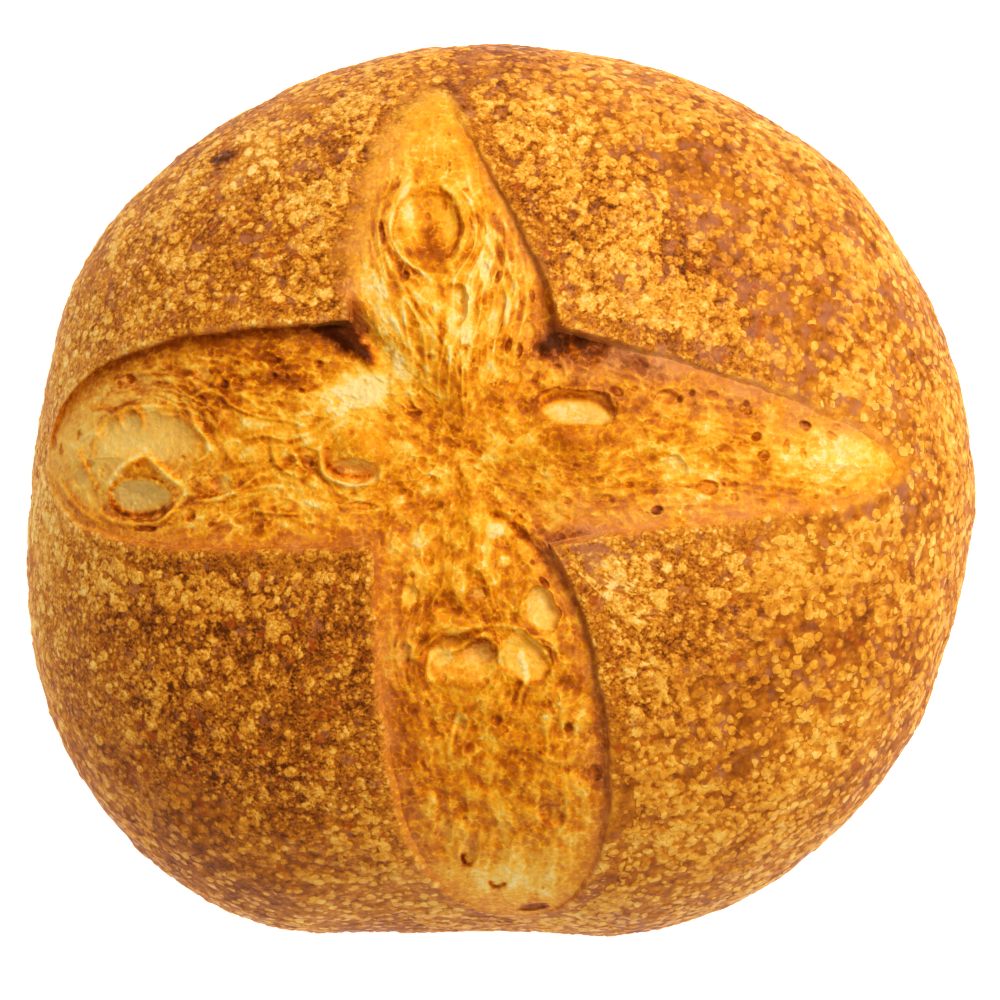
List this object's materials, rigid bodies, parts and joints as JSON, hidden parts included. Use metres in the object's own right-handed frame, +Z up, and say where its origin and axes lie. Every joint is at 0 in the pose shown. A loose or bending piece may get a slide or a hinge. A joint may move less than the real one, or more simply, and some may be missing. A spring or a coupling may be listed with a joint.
{
  "type": "sourdough loaf",
  "caption": "Round hearth-baked sourdough loaf with a browned, blistered crust, torn open along a deep cross-shaped score on top.",
  "frame": {"origin": "on the surface the loaf stands on, under the middle of its box", "axes": "+Z up; +X to the right and +Y to the back as one looks down on the loaf, with the two longest arms of the score along X"},
  "size_m": [0.2298, 0.2178, 0.1028],
  "materials": {
    "bread_crust": "browned, blistered bread crust with paler torn crumb in the score"
  },
  "bodies": {
    "root": {"loaf": "bread_crust"}
  },
  "joints": []
}
